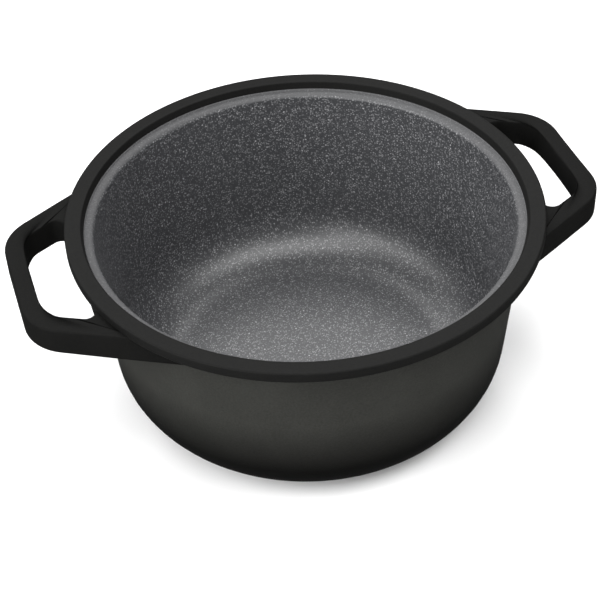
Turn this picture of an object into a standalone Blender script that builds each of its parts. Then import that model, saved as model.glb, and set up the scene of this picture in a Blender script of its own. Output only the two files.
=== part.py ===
"""Low round cooking pot with two loop handles, cast in one piece, and the coating of its inside.

Metres, +Z up. The origin is the middle of the base, on the surface that the pot stands on, and
+X runs through the handles. The body and the handle loops are one casting on the real pot. Here
they are separate solids that meet along the handles' roots, a hair apart.
"""

import math

import bmesh
import bpy
from mathutils import Vector

# Body, turned about Z
HEIGHT = 0.1205  # base to the rim's top
RIM_RADIUS = 0.130  # outside of the lip
RIM_TOP_WIDTH = 0.0082  # flat ring round the mouth
LIP_DEPTH = 0.0061  # height of the lip's outer face
LIP_COVE = 0.0080  # hollow curve that carries the lip out from the wall
SEAT_DEPTH = 0.0062  # lid seat below the rim's top
SEAT_WIDTH = 0.0043  # ledge that a lid rests on
SEAT_ROUND = 0.0022  # ledge's inner edge
SEAT_DRAFT = math.radians(16)  # lean of the short wall round the seat
WALL = 0.0033  # side wall
WALL_DRAFT = math.radians(5)  # lean of the side wall, narrower towards the base
BASE = 0.0050  # floor of the pot
CORNER_RADIUS = 0.0383  # outside, from the wall to the base
CORNER_WALL = 0.0040  # metal round that corner
EDGE_ROUND = 0.0011  # other soft edges of the rim, the lip and the seat

# Coating of the inside
LINING = 0.0006

# Handle loops, seen from above: two arms that lean towards each other, a straight bar between
# their ends, and a web that joins their roots against the wall, under the lip
HANDLE_REACH = 0.0304  # bar's outer face, beyond the lip
HANDLE_DROP = 0.0047  # handle's top below the rim's top
HANDLE_THICKNESS = 0.0155  # top to bottom
BAR_WIDTH = 0.0100
ARM_WIDTH = 0.0111
BAR_HALF_LENGTH = 0.0392  # to the sharp corner that the rounding replaces
ARM_SPLAY = math.radians(27.9)  # between an arm and the X axis
OUTER_CORNER = 0.0267
WINDOW_CORNER = 0.0153  # finger opening's corners at the bar
WEB_DEPTH = 0.0065  # web between the wall and the finger opening
WEB_CORNER = 0.0058  # finger opening's corners at the web
HANDLE_EDGE = 0.0016  # soft edges of the handle's top and bottom

# Between two solids that touch on the real pot
CLEARANCE = 0.0003

# Fineness of the mesh
ROUND_STEPS = 64
EDGE_STEPS = 3
COVE_STEPS = 5
BASE_CORNER_STEPS = 9
HANDLE_CORNER_STEPS = 8
SOFT_EDGE_ANGLE = math.radians(35)

SEAT_Z = HEIGHT - SEAT_DEPTH
LIP_Z = HEIGHT - LIP_DEPTH
HANDLE_TOP = HEIGHT - HANDLE_DROP
HANDLE_BOTTOM = HANDLE_TOP - HANDLE_THICKNESS


def clear_scene():
    for obj in list(bpy.data.objects):
        bpy.data.objects.remove(obj, do_unlink=True)


def material(name, colour, roughness, metallic):
    """Principled material with one colour."""
    made = bpy.data.materials.new(name)
    made.use_nodes = True
    shader = made.node_tree.nodes["Principled BSDF"]
    shader.inputs["Base Color"].default_value = (*colour, 1.0)
    shader.inputs["Roughness"].default_value = roughness
    shader.inputs["Metallic"].default_value = metallic
    return made


def add_object(name, mesh, finish=None):
    """Object of this mesh, smooth where it is round and sharp at its edges."""
    obj = bpy.data.objects.new(name, mesh)
    bpy.context.scene.collection.objects.link(obj)
    mesh.shade_smooth()
    mesh.set_sharp_from_angle(angle=SOFT_EDGE_ANGLE)
    if finish:
        mesh.materials.append(finish)
    return obj


def rounded(corners):
    """Points along straight runs whose corners are rounded. A corner is (x, y, radius, steps)."""
    places = [Vector(corner[:2]) for corner in corners]
    points = [places[0]]
    for before, corner, place, after in zip(places, corners[1:-1], places[1:-1], places[2:]):
        radius, steps = corner[2:]
        way_in = (before - place).normalized()
        way_out = (after - place).normalized()
        half_angle = way_in.angle(way_out) / 2
        centre = place + (way_in + way_out).normalized() * radius / math.sin(half_angle)
        reach = radius / math.tan(half_angle)
        first = place + way_in * reach - centre
        last = place + way_out * reach - centre
        for step in range(steps + 1):
            points.append(centre + radius * first.slerp(last, step / steps))
    points.append(places[-1])
    return points


def seat_wall_radius(z):
    """Short wall round the lid seat."""
    return RIM_RADIUS - RIM_TOP_WIDTH - (HEIGHT - z) * math.tan(SEAT_DRAFT)


def inner_wall_radius(z):
    """Inside of the side wall, which starts at the seat's ledge."""
    return seat_wall_radius(SEAT_Z) - SEAT_WIDTH - (SEAT_Z - z) * math.tan(WALL_DRAFT)


def outer_wall_radius(z):
    return inner_wall_radius(z) + WALL / math.cos(WALL_DRAFT)


def outside(offset=0.0):
    """Outline of the pot's outside, from the axis under the base to the lip's top corner, moved out."""
    lean = offset / math.cos(WALL_DRAFT)
    lip = RIM_RADIUS + offset
    lip_under = LIP_Z - offset
    cove = min(LIP_COVE, RIM_RADIUS - EDGE_ROUND - outer_wall_radius(LIP_Z)) - offset
    return [
        (0.0, -offset, 0.0, 0),
        (outer_wall_radius(-offset) + lean, -offset, CORNER_RADIUS + offset, BASE_CORNER_STEPS),
        (outer_wall_radius(lip_under) + lean, lip_under, cove, COVE_STEPS),
        (lip, lip_under, EDGE_ROUND + offset, EDGE_STEPS),
        (lip, HEIGHT + offset, EDGE_ROUND, EDGE_STEPS),
    ]


def inside(offset=0.0):
    """Outline of the pot's inside, from the seat wall's top to the axis, moved into the pot."""
    seat = SEAT_Z + offset
    floor = BASE + offset
    seat_lean = offset / math.cos(SEAT_DRAFT)
    wall_lean = offset / math.cos(WALL_DRAFT)
    return [
        (seat_wall_radius(HEIGHT) - seat_lean, HEIGHT, EDGE_ROUND, EDGE_STEPS),
        (seat_wall_radius(seat) - seat_lean, seat, EDGE_ROUND - offset, EDGE_STEPS),
        (inner_wall_radius(seat) - wall_lean, seat, SEAT_ROUND + offset, EDGE_STEPS),
        (
            inner_wall_radius(floor) - wall_lean,
            floor,
            CORNER_RADIUS - CORNER_WALL - offset,
            BASE_CORNER_STEPS,
        ),
        (0.0, floor, 0.0, 0),
    ]


def turned(name, points):
    """Closed mesh of revolution about Z. An outline that starts off the axis is closed on itself."""
    shape = bmesh.new()
    verts = [shape.verts.new((point.x, 0.0, point.y)) for point in points]
    edges = [shape.edges.new(pair) for pair in zip(verts, verts[1:])]
    bmesh.ops.spin(
        shape,
        geom=verts + edges,
        cent=(0, 0, 0),
        axis=(0, 0, 1),
        angle=math.tau,
        steps=ROUND_STEPS,
        use_merge=True,
    )
    bmesh.ops.remove_doubles(shape, verts=shape.verts, dist=1e-6)
    bmesh.ops.recalc_face_normals(shape, faces=shape.faces)
    mesh = bpy.data.meshes.new(name)
    shape.to_mesh(mesh)
    shape.free()
    return mesh


def lining_outline():
    """Both faces of the coating, from the top of the seat wall to the axis."""
    top = HEIGHT - EDGE_ROUND
    outlines = []
    for offset in (CLEARANCE, CLEARANCE + LINING):
        corners = inside(offset)
        lean = offset / math.cos(SEAT_DRAFT)
        corners[0] = (seat_wall_radius(top) - lean, top, 0.0, 0)
        outlines.append(rounded(corners))
    near_metal, free_face = outlines
    return free_face[::-1] + near_metal


def arm_outer_half_width(x):
    """Half the width across the arms' outer sides, at this distance from the pot's axis."""
    bar_face = RIM_RADIUS + HANDLE_REACH
    return BAR_HALF_LENGTH + (bar_face - x) * math.tan(ARM_SPLAY)


def arm_inner_half_width(x):
    return arm_outer_half_width(x) - ARM_WIDTH / math.cos(ARM_SPLAY)


def half_outline():
    """Half of the +X handle from above, at y >= 0: its outer side, its root and the opening's edge.

    The root lies inside the pot's wall, where the cut to the wall removes it.
    """
    bar_face = RIM_RADIUS + HANDLE_REACH
    bar_back = bar_face - BAR_WIDTH
    web = outer_wall_radius(HANDLE_BOTTOM) + WEB_DEPTH
    deep = outer_wall_radius(0.0) - arm_outer_half_width(bar_face)
    outer_side = rounded(
        [
            (bar_face, 0.0),
            (bar_face, BAR_HALF_LENGTH, OUTER_CORNER, HANDLE_CORNER_STEPS),
            (deep, arm_outer_half_width(deep)),
        ]
    )
    opening = rounded(
        [
            (web, 0.0),
            (web, arm_inner_half_width(web), WEB_CORNER, HANDLE_CORNER_STEPS),
            (bar_back, arm_inner_half_width(bar_back), WINDOW_CORNER, HANDLE_CORNER_STEPS),
            (bar_back, 0.0),
        ]
    )
    return outer_side + [Vector((deep, 0.0))] + opening


def handle_blank():
    """The handle before its root is cut to the wall: two mirrored halves given their thickness."""
    shape = bmesh.new()
    half = half_outline()
    other_half = [Vector((point.x, -point.y)) for point in reversed(half)]
    for points in (half, other_half):
        shape.faces.new([shape.verts.new((*point, HANDLE_BOTTOM)) for point in points])
    bmesh.ops.remove_doubles(shape, verts=shape.verts, dist=1e-6)
    raised = bmesh.ops.extrude_face_region(shape, geom=list(shape.faces))["geom"]
    top = [item for item in raised if isinstance(item, bmesh.types.BMVert)]
    bmesh.ops.translate(shape, verts=top, vec=(0, 0, HANDLE_THICKNESS))
    bmesh.ops.recalc_face_normals(shape, faces=shape.faces)
    mesh = bpy.data.meshes.new("handle")
    shape.to_mesh(mesh)
    shape.free()
    return mesh


def add_handle(name, turn, body_space, finish):
    """Handle loop with soft edges, its root cut to the wall and the lip with the clearance."""
    handle = add_object(name, handle_blank(), finish)
    handle.rotation_euler.z = turn
    soften = handle.modifiers.new("soft_edges", "BEVEL")
    soften.width = HANDLE_EDGE
    soften.segments = EDGE_STEPS
    soften.limit_method = "ANGLE"
    soften.angle_limit = SOFT_EDGE_ANGLE
    cut = handle.modifiers.new("root_cut", "BOOLEAN")
    cut.operation = "DIFFERENCE"
    cut.solver = "EXACT"
    cut.object = body_space
    return handle


def main():
    clear_scene()
    casting = material("cast_metal", (0.030, 0.030, 0.028), 0.50, 0.0)
    grip = material("cast_handle", (0.020, 0.020, 0.019), 0.55, 0.0)
    coating = material("speckled_coating", (0.055, 0.056, 0.060), 0.40, 0.0)

    body_points = rounded(outside() + inside())
    add_object("pot_body", turned("pot_body", body_points), casting)
    add_object("nonstick_lining", turned("nonstick_lining", lining_outline()), coating)

    space_points = rounded(outside(CLEARANCE) + [(0.0, HEIGHT + CLEARANCE, 0.0, 0)])
    body_space = add_object("body_space", turned("body_space", space_points))
    body_space.hide_render = True
    body_space.display_type = "WIRE"
    add_handle("right_handle", 0.0, body_space, grip)
    add_handle("left_handle", math.pi, body_space, grip)


main()
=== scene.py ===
"""Looks of a low cast cooking pot with two loop handles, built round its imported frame."""

import math

import bpy
import numpy as np
from mathutils import Matrix, Vector


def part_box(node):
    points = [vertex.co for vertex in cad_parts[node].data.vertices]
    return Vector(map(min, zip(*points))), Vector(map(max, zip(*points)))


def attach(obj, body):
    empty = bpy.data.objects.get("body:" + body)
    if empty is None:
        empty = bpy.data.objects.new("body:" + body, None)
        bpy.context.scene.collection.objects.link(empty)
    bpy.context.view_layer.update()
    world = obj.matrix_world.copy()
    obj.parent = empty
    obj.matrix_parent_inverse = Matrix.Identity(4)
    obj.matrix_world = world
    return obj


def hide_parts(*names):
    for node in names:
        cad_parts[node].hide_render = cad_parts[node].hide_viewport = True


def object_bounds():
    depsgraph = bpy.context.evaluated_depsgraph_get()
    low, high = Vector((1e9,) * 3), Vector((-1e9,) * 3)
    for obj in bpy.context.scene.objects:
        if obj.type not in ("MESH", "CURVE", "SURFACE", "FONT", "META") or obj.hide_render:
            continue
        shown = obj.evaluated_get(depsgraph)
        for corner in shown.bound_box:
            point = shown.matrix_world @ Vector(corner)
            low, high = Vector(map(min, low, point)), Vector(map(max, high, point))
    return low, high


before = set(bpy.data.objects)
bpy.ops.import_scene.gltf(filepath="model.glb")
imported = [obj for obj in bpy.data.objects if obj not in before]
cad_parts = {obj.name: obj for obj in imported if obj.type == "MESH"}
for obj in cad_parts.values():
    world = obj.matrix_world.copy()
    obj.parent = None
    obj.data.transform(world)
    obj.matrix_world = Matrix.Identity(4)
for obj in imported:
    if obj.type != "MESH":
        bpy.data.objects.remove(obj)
cad_low, cad_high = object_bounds()


# ---- Camera -------------------------------------------------------------------------------
# A long lens looks down into the pot from the front, a little to the left of its middle, and
# leans slightly, so that the right handle sits higher than the left one.
LENS = 90.285
SENSOR = 36.0
CAMERA_AZIMUTH = math.radians(-16.343)
CAMERA_ELEVATION = math.radians(41.601)
CAMERA_ROLL = math.radians(-2.753)
CAMERA_DISTANCE = 0.8146
AIM_RIGHT = -0.00234
AIM_UP = -0.05085

back = Vector((
    math.sin(CAMERA_AZIMUTH) * math.cos(CAMERA_ELEVATION),
    -math.cos(CAMERA_AZIMUTH) * math.cos(CAMERA_ELEVATION),
    math.sin(CAMERA_ELEVATION),
))
turn = back.to_track_quat("Z", "Y").to_matrix() @ Matrix.Rotation(CAMERA_ROLL, 3, "Z")
rim_centre = Vector((0.0, 0.0, cad_high[2]))
aim = rim_centre + turn @ Vector((AIM_RIGHT, AIM_UP, 0.0))
camera_data = bpy.data.cameras.new("camera")
camera_data.lens = LENS
camera_data.sensor_width = SENSOR
camera = bpy.data.objects.new("camera", camera_data)
camera.matrix_world = Matrix.Translation(aim + back * CAMERA_DISTANCE) @ turn.to_4x4()
bpy.context.scene.collection.objects.link(camera)
bpy.context.scene.camera = camera


# ---- Floor and light ----------------------------------------------------------------------
# A white table under seven soft boxes: a wide low one to the left, a broad one high in front, two
# to the right and three behind. The ones behind make the pale band round the pot's floor.
FLOOR_SIZE = 12.0
FLOOR_DROP = 0.00005
FLOOR_WHITE = 0.9
FLOOR_ROUGHNESS = 0.9
TENT_WHITE = (1.0, 1.0, 1.0)
TENT_STRENGTH = 0.15
LIGHT_DISTANCE = 1.8
SOFT_BOXES = (
    # name, azimuth from +X, elevation, half width, half height (degrees), radiance
    ("light_left", 196.0, 27.0, 36.0, 17.0, 5.0),
    ("light_front", 268.0, 63.0, 32.0, 13.0, 5.2),
    ("light_right", 335.0, 50.0, 12.0, 10.0, 2.6),
    ("light_low_right", 322.0, 14.0, 14.0, 9.0, 3.0),
    ("light_behind", 76.0, 61.0, 16.0, 11.0, 8.6),
    ("light_behind_left", 117.0, 38.0, 13.0, 9.0, 6.0),
    ("light_behind_right", 52.0, 36.0, 9.0, 8.0, 6.0),
)


def principled(name):
    """New material, with its Principled shader and its tree."""
    made = bpy.data.materials.new(name)
    made.use_nodes = True
    tree = made.node_tree
    return made, tree.nodes["Principled BSDF"], tree


def flat_grid(name, size, z):
    """Square sheet at height z: its corners are half the size to each side of the middle."""
    half = size / 2
    mesh = bpy.data.meshes.new(name)
    corners = [(-half, -half, z), (half, -half, z), (half, half, z), (-half, half, z)]
    mesh.from_pydata(corners, [], [(0, 1, 2, 3)])
    obj = bpy.data.objects.new(name, mesh)
    bpy.context.scene.collection.objects.link(obj)
    return obj


table = flat_grid("table", FLOOR_SIZE, -FLOOR_DROP)
table_white, table_shader, _ = principled("table_white")
table_shader.inputs["Base Color"].default_value = (FLOOR_WHITE, FLOOR_WHITE, FLOOR_WHITE, 1.0)
table_shader.inputs["Roughness"].default_value = FLOOR_ROUGHNESS
table_shader.inputs["Specular IOR Level"].default_value = 0.0
table.data.materials.append(table_white)
# The pot doesn't mirror the table.
table.visible_glossy = False

tent = bpy.data.worlds.new("tent")
tent.use_nodes = True
tent.node_tree.nodes["Background"].inputs["Color"].default_value = (*TENT_WHITE, 1.0)
tent.node_tree.nodes["Background"].inputs["Strength"].default_value = TENT_STRENGTH
bpy.context.scene.world = tent
bpy.context.scene.view_settings.view_transform = "Standard"


def soft_box(name, azimuth, elevation, half_width, half_height, radiance):
    """Rectangular light of this radiance, facing the pot, with these half angles as seen from it.

    Its place is LIGHT_DISTANCE times (cos e cos a, cos e sin a, sin e). A side is twice the
    distance times the tangent of its half angle. The power is radiance times pi times the area.
    """
    data = bpy.data.lights.new(name, "AREA")
    data.shape = "RECTANGLE"
    data.size = 2 * LIGHT_DISTANCE * math.tan(math.radians(half_width))
    data.size_y = 2 * LIGHT_DISTANCE * math.tan(math.radians(half_height))
    data.energy = radiance * math.pi * data.size * data.size_y
    light = bpy.data.objects.new(name, data)
    a, e = math.radians(azimuth), math.radians(elevation)
    way = Vector((math.cos(e) * math.cos(a), math.cos(e) * math.sin(a), math.sin(e)))
    light.location = way * LIGHT_DISTANCE + Vector((0.0, 0.0, cad_high[2] / 2))
    light.rotation_euler = (-way).to_track_quat("-Z", "Y").to_euler()
    bpy.context.scene.collection.objects.link(light)
    return light


for box in SOFT_BOXES:
    soft_box(*box)


# ---- Pot casting --------------------------------------------------------------------------
# The body is one thin casting: a flat base, a big round corner, a wall that leans out, a lip
# carried out on a hollow curve, and a step inside for the lid. Its outside is sprayed matt black.
_, pot_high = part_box("pot_body")
RIM_RADIUS = pot_high.x
HEIGHT = pot_high.z
RIM_TOP_WIDTH = 0.0082
LIP_DEPTH = 0.0061
LIP_COVE = 0.0080
SEAT_DEPTH = 0.0062
SEAT_WIDTH = 0.0043
SEAT_ROUND = 0.0022
SEAT_DRAFT = math.radians(16)
WALL = 0.0033
WALL_DRAFT = math.radians(5)
BASE = 0.0050
CORNER_RADIUS = 0.0383
CORNER_WALL = 0.0040
EDGE_ROUND = 0.0011
INNER_EDGE_ROUND = 0.0008
COAT_FACE = 0.0009
COAT = 0.00012
TURN_STEPS = 384
ARC_STEP = math.radians(6)
LONG_RUN = 0.004
ON_AXIS = 1e-9

GRAIN_SCALE = 900.0
GRAIN_DETAIL = 3.0
GRAIN_SHARE = 0.6
GRAIN_BASE = 0.7
GRAIN_DEPTH = 0.00006
CLOUD_SCALE = 45.0
CLOUD_DETAIL = 4.0
CLOUD_MIDDLE = 0.5
CLOUD_ROUGHNESS = 0.12
SKIN_CLOUDINESS = 0.3

OUTER_BLACK = (0.0280, 0.0284, 0.0256)
# Painted shade: the outside's colour darkens to this near black towards the base, between the two
# heights below.
FOOT_SHADE_BLACK = (0.0035, 0.0035, 0.0032)
RIM_BLACK = (0.0078, 0.0078, 0.0075)
OUTER_ROUGHNESS = 0.55
OUTER_SPECULAR = 0.06
FOOT_SHADE_FULL_Z = 0.030
FOOT_SHADE_END_Z = 0.068

SEAT_Z = HEIGHT - SEAT_DEPTH
LIP_Z = HEIGHT - LIP_DEPTH
RIM_FADE_LOW = LIP_Z - 0.0002
RIM_FADE_HIGH = LIP_Z + 0.0008


def seat_wall_radius(z):
    """Radius of the short wall round the lid seat: it leans in by the seat's draft."""
    return RIM_RADIUS - RIM_TOP_WIDTH - (HEIGHT - z) * math.tan(SEAT_DRAFT)


def inner_wall_radius(z):
    """Radius of the metal's inside: the seat's inner edge, leaning in by the wall's draft."""
    return seat_wall_radius(SEAT_Z) - SEAT_WIDTH - (SEAT_Z - z) * math.tan(WALL_DRAFT)


def outer_wall_radius(z):
    """Radius of the outside: the inside plus the wall, measured square to the lean."""
    return inner_wall_radius(z) + WALL / math.cos(WALL_DRAFT)


def rounded_profile(corners):
    """Points along straight runs with rounded corners, as an array of (radius, height).

    A corner (r, z, radius) is replaced by the arc that touches both runs: its centre lies on
    the bisector at radius / sin(half angle), and its points turn evenly from one run to the
    other. Long straight runs are divided evenly.
    """
    corners = np.array(corners, float)
    pieces = [corners[:1, :2]]
    for before, corner, after in zip(corners, corners[1:], corners[2:]):
        place, radius = corner[:2], corner[2]
        way_in = (before[:2] - place) / np.linalg.norm(before[:2] - place)
        way_out = (after[:2] - place) / np.linalg.norm(after[:2] - place)
        if radius <= 0:
            pieces.append(place[None])
            continue
        half = math.acos(np.clip(way_in @ way_out, -1, 1)) / 2
        bisector = (way_in + way_out) / np.linalg.norm(way_in + way_out)
        centre = place + bisector * radius / math.sin(half)
        first = place + way_in * radius / math.tan(half) - centre
        last = place + way_out * radius / math.tan(half) - centre
        sweep = math.pi - 2 * half
        share = np.linspace(0, 1, max(4, round(sweep / ARC_STEP)) + 1)[:, None]
        arc = (np.sin((1 - share) * sweep) * first + np.sin(share * sweep) * last) / math.sin(sweep)
        pieces.append(centre + arc)
    pieces.append(corners[-1:, :2])
    points = np.vstack(pieces)
    filled = [points[:1]]
    for start, end in zip(points, points[1:]):
        parts = max(1, math.ceil(np.linalg.norm(end - start) / LONG_RUN))
        filled.append(start + (end - start) * np.arange(1, parts + 1)[:, None] / parts)
    return np.vstack(filled)


def turned_piece(name, profile):
    """Closed surface of revolution about Z.

    A point of the profile at (r, z) goes to (r cos a, r sin a, z) for a full turn of angles a,
    and a point on the axis to one vertex. The last point joins the first one. The profile runs
    so that the material lies on its left side, and faces then point outwards.
    """
    angles = np.arange(TURN_STEPS) * math.tau / TURN_STEPS
    turn = np.stack([np.cos(angles), np.sin(angles)], axis=1)
    verts, rows = [], []
    for radius, z in profile:
        on_axis = radius < ON_AXIS
        ring = np.zeros((1, 2)) if on_axis else radius * turn
        rows.append(np.resize(np.arange(len(ring)), TURN_STEPS) + sum(map(len, verts)))
        verts.append(np.column_stack([ring, np.full(len(ring), z)]))
    faces = []
    for upper, lower in zip(rows, rows[1:] + rows[:1]):
        quads = np.stack([upper, np.roll(upper, -1), np.roll(lower, -1), lower], axis=1)
        if upper[0] == upper[1] and lower[0] == lower[1]:
            continue
        if upper[0] == upper[1]:
            quads = quads[:, 1:]
        if lower[0] == lower[1]:
            quads = quads[:, :3]
        faces += quads.tolist()
    return finished_piece(name, np.vstack(verts), faces)


def finished_piece(name, verts, faces):
    """Smooth-shaded object at the origin, whose place is in its mesh."""
    mesh = bpy.data.meshes.new(name)
    mesh.from_pydata(verts, [], faces)
    mesh.update()
    mesh.shade_smooth()
    obj = bpy.data.objects.new(name, mesh)
    bpy.context.scene.collection.objects.link(obj)
    return obj


def inside_corners(offset):
    """Corners of the pot's inside, from the rim's top to the axis, moved into the pot."""
    seat = SEAT_Z + offset
    floor = BASE + offset
    seat_lean = offset / math.cos(SEAT_DRAFT)
    wall_lean = offset / math.cos(WALL_DRAFT)
    return [
        (seat_wall_radius(HEIGHT) - seat_lean, HEIGHT, INNER_EDGE_ROUND),
        (seat_wall_radius(seat) - seat_lean, seat, EDGE_ROUND - offset),
        (inner_wall_radius(seat) - wall_lean, seat, SEAT_ROUND + offset),
        (inner_wall_radius(floor) - wall_lean, floor, CORNER_RADIUS - CORNER_WALL - offset),
        (0.0, floor, 0.0),
    ]


outside_corners = [
    (0.0, 0.0, 0.0),
    (outer_wall_radius(0.0), 0.0, CORNER_RADIUS),
    (outer_wall_radius(LIP_Z), LIP_Z, LIP_COVE),
    (RIM_RADIUS, LIP_Z, EDGE_ROUND),
    (RIM_RADIUS, HEIGHT, EDGE_ROUND),
]
casting_profile = rounded_profile(outside_corners + inside_corners(COAT_FACE - COAT))
casting = turned_piece("pot_casting", casting_profile)


def socket(group, name, kind, direction, value=None):
    """Adds one named input or output to a node group."""
    made = group.interface.new_socket(name=name, in_out=direction, socket_type=kind)
    if value is not None:
        made.default_value = value
    return made


def node(tree, kind, at, **settings):
    """Adds a node of this kind at this place in the tree, with these settings."""
    made = tree.nodes.new(kind)
    made.location = at
    for key, value in settings.items():
        setattr(made, key, value)
    return made


def cast_skin_group():
    """Matt sprayed casting with fine sand grain and broad cloudiness.

    The colour is scaled by cloudiness * (cloud - middle) + grain share * grain + grain base, and
    the roughness follows the cloud a little. Outputs: colour, roughness and height.
    """
    group = bpy.data.node_groups.new("cast_skin", "ShaderNodeTree")
    socket(group, "Colour", "NodeSocketColor", "INPUT", (0.02, 0.02, 0.018, 1.0))
    socket(group, "Cloudiness", "NodeSocketFloat", "INPUT", 0.2)
    socket(group, "Roughness", "NodeSocketFloat", "INPUT", 0.5)
    socket(group, "Colour", "NodeSocketColor", "OUTPUT")
    socket(group, "Roughness", "NodeSocketFloat", "OUTPUT")
    socket(group, "Height", "NodeSocketFloat", "OUTPUT")
    link = group.links.new
    given = node(group, "NodeGroupInput", (-900, 0))
    result = node(group, "NodeGroupOutput", (700, 0))
    where = node(group, "ShaderNodeTexCoord", (-900, -300))
    grain = node(group, "ShaderNodeTexNoise", (-650, -100))
    grain.inputs["Scale"].default_value = GRAIN_SCALE
    grain.inputs["Detail"].default_value = GRAIN_DETAIL
    cloud = node(group, "ShaderNodeTexNoise", (-650, -400))
    cloud.inputs["Scale"].default_value = CLOUD_SCALE
    cloud.inputs["Detail"].default_value = CLOUD_DETAIL
    for texture in (grain, cloud):
        link(where.outputs["Object"], texture.inputs["Vector"])
    centred = node(group, "ShaderNodeMath", (-450, -400), operation="SUBTRACT")
    centred.inputs[1].default_value = CLOUD_MIDDLE
    link(cloud.outputs["Fac"], centred.inputs[0])
    scaled = node(group, "ShaderNodeMath", (-270, -300), operation="MULTIPLY")
    link(centred.outputs[0], scaled.inputs[0])
    link(given.outputs["Cloudiness"], scaled.inputs[1])
    grain_part = node(group, "ShaderNodeMath", (-450, -150), operation="MULTIPLY_ADD")
    grain_part.inputs[1].default_value = GRAIN_SHARE
    grain_part.inputs[2].default_value = GRAIN_BASE
    link(grain.outputs["Fac"], grain_part.inputs[0])
    bright = node(group, "ShaderNodeMath", (-90, -200), operation="ADD")
    link(scaled.outputs[0], bright.inputs[0])
    link(grain_part.outputs[0], bright.inputs[1])
    shade = node(group, "ShaderNodeVectorMath", (100, 100), operation="SCALE")
    link(given.outputs["Colour"], shade.inputs[0])
    link(bright.outputs[0], shade.inputs["Scale"])
    link(shade.outputs[0], result.inputs["Colour"])
    rough = node(group, "ShaderNodeMath", (100, -100), operation="MULTIPLY_ADD")
    link(centred.outputs[0], rough.inputs[0])
    rough.inputs[1].default_value = CLOUD_ROUGHNESS
    link(given.outputs["Roughness"], rough.inputs[2])
    link(rough.outputs[0], result.inputs["Roughness"])
    link(grain.outputs["Fac"], result.inputs["Height"])
    return group


cast_skin = cast_skin_group()


def height_mask(tree, at, low, high):
    """Value that goes from 0 to 1 as the object's own z goes from low to high."""
    where = node(tree, "ShaderNodeTexCoord", (at[0], at[1]))
    split = node(tree, "ShaderNodeSeparateXYZ", (at[0] + 160, at[1]))
    mask = node(tree, "ShaderNodeMapRange", (at[0] + 320, at[1]))
    mask.inputs["From Min"].default_value = low
    mask.inputs["From Max"].default_value = high
    tree.links.new(where.outputs["Object"], split.inputs[0])
    tree.links.new(split.outputs["Z"], mask.inputs["Value"])
    return mask.outputs["Result"]


def skin_material(name, colour, roughness, specular, rim_colour=None, foot_colour=None):
    """Cast skin in this colour, darkened by painted shade towards the base in the foot colour, and
    in rim_colour from the lip up.
    """
    made, shader, tree = principled(name)
    skin = node(tree, "ShaderNodeGroup", (-400, 200), node_tree=cast_skin)
    skin.inputs["Colour"].default_value = (*colour, 1.0)
    skin.inputs["Cloudiness"].default_value = SKIN_CLOUDINESS
    skin.inputs["Roughness"].default_value = roughness
    if rim_colour:
        # Painted shade: the colour fades to a near black towards the base.
        foot = node(tree, "ShaderNodeMix", (-800, 200), data_type="RGBA")
        foot.inputs["A"].default_value = (*foot_colour, 1.0)
        foot.inputs["B"].default_value = (*colour, 1.0)
        foot_mask = height_mask(tree, (-1300, 0), FOOT_SHADE_FULL_Z, FOOT_SHADE_END_Z)
        tree.links.new(foot_mask, foot.inputs["Factor"])
        tint = node(tree, "ShaderNodeMix", (-600, 200), data_type="RGBA")
        tint.inputs["B"].default_value = (*rim_colour, 1.0)
        rim_mask = height_mask(tree, (-1300, 300), RIM_FADE_LOW, RIM_FADE_HIGH)
        tree.links.new(rim_mask, tint.inputs["Factor"])
        tree.links.new(foot.outputs["Result"], tint.inputs["A"])
        tree.links.new(tint.outputs["Result"], skin.inputs["Colour"])
    bump = node(tree, "ShaderNodeBump", (-200, -200))
    bump.inputs["Distance"].default_value = GRAIN_DEPTH
    bump.inputs["Strength"].default_value = 1.0
    tree.links.new(skin.outputs["Colour"], shader.inputs["Base Color"])
    tree.links.new(skin.outputs["Roughness"], shader.inputs["Roughness"])
    tree.links.new(skin.outputs["Height"], bump.inputs["Height"])
    tree.links.new(bump.outputs["Normal"], shader.inputs["Normal"])
    shader.inputs["Specular IOR Level"].default_value = specular
    return made


outer_black = skin_material(
    "outer_black", OUTER_BLACK, OUTER_ROUGHNESS, OUTER_SPECULAR, RIM_BLACK, FOOT_SHADE_BLACK
)
casting.data.materials.append(outer_black)
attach(casting, "root")
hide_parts("pot_body")


# ---- Speckled lining ----------------------------------------------------------------------
# The inside and the lid seat carry a sprayed non-stick coat: dark grey, with pale mineral specks
# just under a millimetre across, and a soft gloss. It ends on the short wall above the seat.
COAT_TOP = SEAT_Z + 0.0021
COAT_SUNK = 0.00025
COAT_GREY = (0.034, 0.035, 0.038)
SPECK_GREY = (0.42, 0.42, 0.43)
COAT_ROUGHNESS = 0.36
COAT_SPECULAR = 0.8
COAT_GRAIN_DEPTH = 0.00004
SPECK_LAYERS = (
    # cells per metre, reach of a speck in cells, share of cells with one, strength, node height
    (950.0, 0.55, 0.85, 0.55, 0),
    (430.0, 0.26, 0.45, 1.0, -450),
)
SPECK_CORE = 0.4
PEEL_SCALE = 700.0
PEEL_DETAIL = 3.0
PEEL_ROUGHNESS = 0.1
SEAT_GREY = (0.050, 0.050, 0.052)
SEAT_SHARE = 0.8
SEAT_ROUGHNESS = 0.35
SEAT_FADE_LOW = SEAT_Z - 0.0010
SEAT_FADE_HIGH = SEAT_Z + 0.0002


def coat_face(offset):
    """One face of the coat: from the foot of the short wall over the seat to the axis."""
    start = (seat_wall_radius(COAT_TOP) - offset / math.cos(SEAT_DRAFT), COAT_TOP, 0.0)
    return rounded_profile([start, *inside_corners(offset)[1:]])


lining_profile = np.vstack([coat_face(COAT_FACE), coat_face(COAT_FACE - COAT_SUNK)[::-1]])
lining = turned_piece("speckled_lining", lining_profile)


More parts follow.
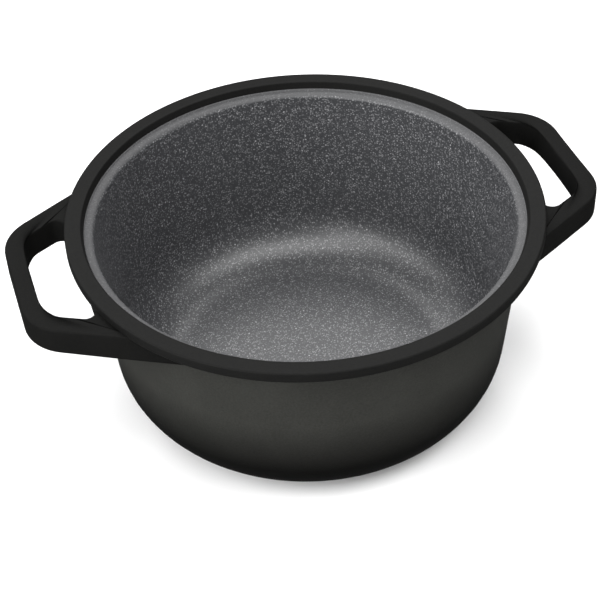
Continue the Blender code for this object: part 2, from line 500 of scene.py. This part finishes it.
def speckled_coat_group():
    """Sprayed coat with two layers of pale specks: a dense faint one and a sparse bright one.

    Each cell of a random cell pattern may hold one round speck. A cell's own random number
    says whether it does, and how pale it is. Outputs: colour, roughness and height.
    """
    group = bpy.data.node_groups.new("speckled_coat", "ShaderNodeTree")
    socket(group, "Ground", "NodeSocketColor", "INPUT", (0.05, 0.05, 0.055, 1.0))
    socket(group, "Speck", "NodeSocketColor", "INPUT", (0.5, 0.5, 0.5, 1.0))
    socket(group, "Roughness", "NodeSocketFloat", "INPUT", 0.4)
    socket(group, "Colour", "NodeSocketColor", "OUTPUT")
    socket(group, "Roughness", "NodeSocketFloat", "OUTPUT")
    socket(group, "Height", "NodeSocketFloat", "OUTPUT")
    link = group.links.new
    given = node(group, "NodeGroupInput", (-1100, 200))
    result = node(group, "NodeGroupOutput", (900, 0))
    where = node(group, "ShaderNodeTexCoord", (-1100, -300))
    masks = []
    for scale, reach, share, strength, y in SPECK_LAYERS:
        cells = node(group, "ShaderNodeTexVoronoi", (-850, y))
        cells.inputs["Scale"].default_value = scale
        link(where.outputs["Object"], cells.inputs["Vector"])
        dot = node(group, "ShaderNodeMapRange", (-600, y))
        dot.inputs["From Min"].default_value = reach
        dot.inputs["From Max"].default_value = reach * SPECK_CORE
        link(cells.outputs["Distance"], dot.inputs["Value"])
        chance = node(group, "ShaderNodeSeparateColor", (-600, y - 250))
        link(cells.outputs["Color"], chance.inputs["Color"])
        present = node(group, "ShaderNodeMapRange", (-400, y - 250))
        present.inputs["From Min"].default_value = 1.0 - share
        present.inputs["From Max"].default_value = 1.0
        present.inputs["To Max"].default_value = strength
        link(chance.outputs["Red"], present.inputs["Value"])
        mask = node(group, "ShaderNodeMath", (-200, y), operation="MULTIPLY")
        link(dot.outputs["Result"], mask.inputs[0])
        link(present.outputs["Result"], mask.inputs[1])
        masks.append(mask)
    both = node(group, "ShaderNodeMath", (0, -200), operation="MAXIMUM")
    link(masks[0].outputs[0], both.inputs[0])
    link(masks[1].outputs[0], both.inputs[1])
    peel = node(group, "ShaderNodeTexNoise", (-850, -900))
    peel.inputs["Scale"].default_value = PEEL_SCALE
    peel.inputs["Detail"].default_value = PEEL_DETAIL
    link(where.outputs["Object"], peel.inputs["Vector"])
    colour = node(group, "ShaderNodeMix", (250, 150), data_type="RGBA")
    link(both.outputs[0], colour.inputs["Factor"])
    link(given.outputs["Ground"], colour.inputs["A"])
    link(given.outputs["Speck"], colour.inputs["B"])
    link(colour.outputs["Result"], result.inputs["Colour"])
    rough = node(group, "ShaderNodeMath", (250, -100), operation="MULTIPLY_ADD")
    link(peel.outputs["Fac"], rough.inputs[0])
    rough.inputs[1].default_value = PEEL_ROUGHNESS
    link(given.outputs["Roughness"], rough.inputs[2])
    link(rough.outputs[0], result.inputs["Roughness"])
    height = node(group, "ShaderNodeMath", (250, -300), operation="ADD")
    link(peel.outputs["Fac"], height.inputs[0])
    link(both.outputs[0], height.inputs[1])
    link(height.outputs[0], result.inputs["Height"])
    return group


speckled_coat = speckled_coat_group()
coat_material, coat_shader, coat_tree = principled("speckled_coat")
coat = node(coat_tree, "ShaderNodeGroup", (-400, 200), node_tree=speckled_coat)
coat.inputs["Ground"].default_value = (*COAT_GREY, 1.0)
coat.inputs["Speck"].default_value = (*SPECK_GREY, 1.0)
coat.inputs["Roughness"].default_value = COAT_ROUGHNESS
# The seat is rubbed matt and shows hardly any specks.
seat = height_mask(coat_tree, (-1100, -300), SEAT_FADE_LOW, SEAT_FADE_HIGH)
most = node(coat_tree, "ShaderNodeMath", (-600, 500), operation="MULTIPLY")
most.inputs[1].default_value = SEAT_SHARE
coat_tree.links.new(seat, most.inputs[0])
rubbed = node(coat_tree, "ShaderNodeMix", (-200, 500), data_type="RGBA")
rubbed.inputs["B"].default_value = (*SEAT_GREY, 1.0)
coat_tree.links.new(most.outputs[0], rubbed.inputs["Factor"])
coat_tree.links.new(coat.outputs["Colour"], rubbed.inputs["A"])
matt = node(coat_tree, "ShaderNodeMath", (-200, 0), operation="MULTIPLY_ADD")
matt.inputs[1].default_value = SEAT_ROUGHNESS
coat_tree.links.new(seat, matt.inputs[0])
coat_tree.links.new(coat.outputs["Roughness"], matt.inputs[2])
coat_bump = node(coat_tree, "ShaderNodeBump", (-200, -200))
coat_bump.inputs["Distance"].default_value = COAT_GRAIN_DEPTH
coat_tree.links.new(rubbed.outputs["Result"], coat_shader.inputs["Base Color"])
coat_tree.links.new(matt.outputs[0], coat_shader.inputs["Roughness"])
coat_tree.links.new(coat.outputs["Height"], coat_bump.inputs["Height"])
coat_tree.links.new(coat_bump.outputs["Normal"], coat_shader.inputs["Normal"])
coat_shader.inputs["Specular IOR Level"].default_value = COAT_SPECULAR
lining.data.materials.append(coat_material)
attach(lining, "root")
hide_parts("nonstick_lining")


# ---- Handles ------------------------------------------------------------------------------
# Each handle is a flat loop cast with the body: two arms that lean towards each other, a bar
# between their ends, and a web that joins their roots to the wall under the lip.
handle_low, handle_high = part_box("right_handle")
BAR_FACE = handle_high.x
HANDLE_TOP = handle_high.z
HANDLE_BOTTOM = handle_low.z
BAR_WIDTH = 0.0100
ARM_WIDTH = 0.0111
BAR_HALF_LENGTH = 0.0392
ARM_SPLAY = math.radians(27.9)
OUTER_CORNER = 0.0267
WINDOW_CORNER = 0.0153
WEB_DEPTH = 0.0065
WEB_CORNER = 0.0058
HANDLE_EDGE = 0.0016
ROOT_RADIUS = 0.1164
ROOT_RADIUS_IN_LIP = 0.1236
STATION_LENGTH = 0.0010
ROOT_POINTS = 90
WALL_STATIONS = 40
SECTION_ARC = 6
HANDLE_BLACK = (0.0062, 0.0062, 0.0059)
HANDLE_ROUGHNESS = 0.6
HANDLE_SPECULAR = 0.04


def arm_outer_half_width(x):
    """Half the width across the arms' outer sides, at this distance from the pot's axis."""
    return BAR_HALF_LENGTH + (BAR_FACE - x) * math.tan(ARM_SPLAY)


def arm_inner_half_width(x):
    """Half the width between the arms' inner sides: the outer one less the arm."""
    return arm_outer_half_width(x) - ARM_WIDTH / math.cos(ARM_SPLAY)


def evenly(points, count):
    """The same line with this many points, spaced evenly along it."""
    steps = np.linalg.norm(np.diff(points, axis=0), axis=1)
    along = np.concatenate([[0], np.cumsum(steps)])
    wanted = np.linspace(0, along[-1], count)
    return np.stack([np.interp(wanted, along, points[:, k]) for k in range(2)], axis=1)


def line_to_circle(start, way, radius):
    """Where the line through start along way leaves a circle of this radius about the axis.

    The point is start moved along way by -(start . way) + sqrt((start . way)^2 - start^2 + r^2).
    """
    middle = start @ way
    return start + way * (math.sqrt(middle**2 - start @ start + radius**2) - middle)


def loop_sides():
    """Matching points of the loop's outer and inner sides, all the way round its opening.

    Seen from above, the outer side follows the bar, the corner and the arm into the wall, then
    a circle inside the wall. The inner side follows the bar's back, its corner, the arm and the
    web's corner and edge. Both are worked out for y > 0 and mirrored.
    """
    bar_back = BAR_FACE - BAR_WIDTH
    web = outer_wall_radius(HANDLE_BOTTOM) + WEB_DEPTH
    arm_way = np.array([math.cos(ARM_SPLAY), -math.sin(ARM_SPLAY)])
    corner = np.array([BAR_FACE, BAR_HALF_LENGTH])
    root = line_to_circle(corner, arm_way, ROOT_RADIUS)
    web_corner = np.array([web, arm_inner_half_width(web)])
    arm_end = web_corner + arm_way * WEB_CORNER / math.tan((math.pi / 2 - ARM_SPLAY) / 2)
    outer_arm = rounded_profile([(BAR_FACE, 0.0, 0.0), (*corner, OUTER_CORNER), (*root, 0.0)])
    angles = np.linspace(math.atan2(root[1], root[0]), 0.0, ROOT_POINTS)
    outer_root = ROOT_RADIUS * np.stack([np.cos(angles), np.sin(angles)], axis=1)
    inner_arm = rounded_profile([
        (bar_back, 0.0, 0.0),
        (bar_back, arm_inner_half_width(bar_back), WINDOW_CORNER),
        (*arm_end, 0.0),
    ])
    inner_root = rounded_profile([(*arm_end, 0.0), (*web_corner, WEB_CORNER), (web, 0.0, 0.0)])
    arm_length = np.linalg.norm(np.diff(outer_arm, axis=0), axis=1).sum()
    arm_stations = math.ceil(arm_length / STATION_LENGTH)
    sides = []
    for arm, rest in ((outer_arm, outer_root), (inner_arm, inner_root)):
        half = np.vstack([evenly(arm, arm_stations), evenly(rest, WALL_STATIONS)[1:]])
        sides.append(np.vstack([half, half[-2:0:-1] * (1, -1)]))
    return sides


def loop_handle(name, side):
    """Handle as a closed grid: stations round the loop by points round the section.

    A section is a rounded rectangle between the loop's inner and outer sides. Its point at
    (across, up) goes to inner + (outer - inner) * across / width, at that height. The root ends
    inside the wall, and inside the lip where it is as high as the lid seat.
    """
    outer, inner = loop_sides()
    width = np.linalg.norm(outer - inner, axis=1)[:, None]
    quarter = np.linspace(0, math.pi / 2, SECTION_ARC + 1)
    turns = np.concatenate([quarter + k * math.pi / 2 for k in range(4)])
    to_outer = np.repeat([1, 0, 0, 1], SECTION_ARC + 1)
    to_top = np.repeat([1, 1, 0, 0], SECTION_ARC + 1)
    across = to_outer * (width - 2 * HANDLE_EDGE) + HANDLE_EDGE * (1 + np.cos(turns))
    height = to_top * (HANDLE_TOP - HANDLE_BOTTOM - 2 * HANDLE_EDGE)
    height = height + HANDLE_BOTTOM + HANDLE_EDGE * (1 + np.sin(turns))
    plan = inner[:, None] + (outer - inner)[:, None] * (across / width)[..., None]
    least = np.where(height > SEAT_Z - 2 * EDGE_ROUND, ROOT_RADIUS_IN_LIP, ROOT_RADIUS)
    plan = plan * np.maximum(1, least / np.linalg.norm(plan, axis=2))[..., None]
    points = np.empty((*plan.shape[:2], 3))
    points[..., :2] = plan * side
    points[..., 2] = height
    index = np.arange(points[..., 0].size).reshape(points.shape[:2])
    there = np.roll(index, -1, 0)
    quads = np.stack([index, there, np.roll(there, -1, 1), np.roll(index, -1, 1)], axis=-1)
    return finished_piece(name, points.reshape(-1, 3), quads.reshape(-1, 4).tolist())


handle_black = skin_material("handle_black", HANDLE_BLACK, HANDLE_ROUGHNESS, HANDLE_SPECULAR)
for name, side in (("right_handle", 1), ("left_handle", -1)):
    handle = loop_handle("cast_" + name, side)
    handle.data.materials.append(handle_black)
    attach(handle, "root")
    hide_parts(name)
